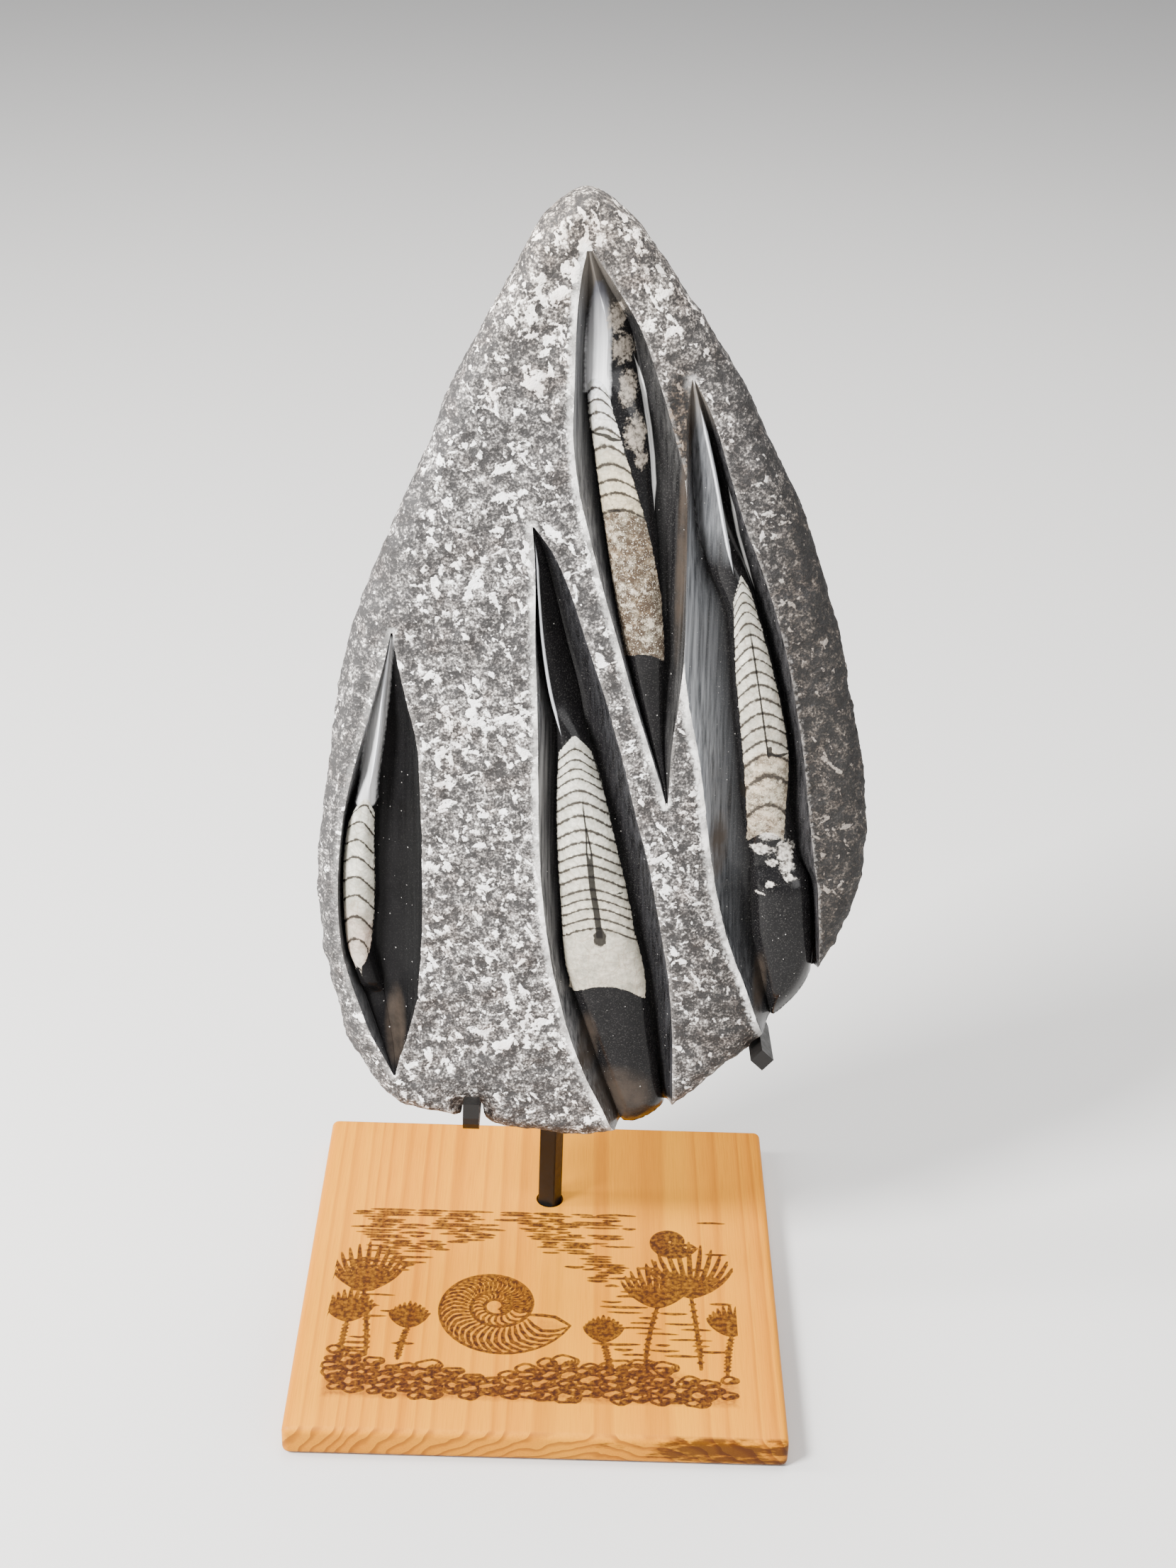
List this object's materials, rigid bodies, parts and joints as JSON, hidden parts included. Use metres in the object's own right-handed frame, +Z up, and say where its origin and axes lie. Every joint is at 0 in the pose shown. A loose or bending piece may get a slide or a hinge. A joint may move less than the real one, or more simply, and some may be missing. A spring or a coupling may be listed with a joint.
{
  "type": "orthoceras fossil on stand",
  "caption": "Pointed slab of black limestone with carved straight-shelled nautiloid fossils, leaning on a bent steel stand with a square wooden base.",
  "frame": {"origin": "centre of the wooden board's underside", "axes": "+Z up, +X to the right of the slab's carved face, -Y the way the face looks"},
  "size_m": [0.1687, 0.15, 0.3465],
  "materials": {
    "limestone": "chiselled face, polished hollows",
    "waxed_wood": "waxed, with a burnt engraving",
    "blackened_steel": "blackened, satin",
    "zinc_steel": "zinc plated"
  },
  "bodies": {
    "root": {"fossil_slab": "limestone", "wood_base": "waxed_wood", "post": "blackened_steel", "back_rest": "blackened_steel", "left_arm": "blackened_steel", "right_arm": "blackened_steel", "base_screw": "zinc_steel"}
  },
  "joints": []
}
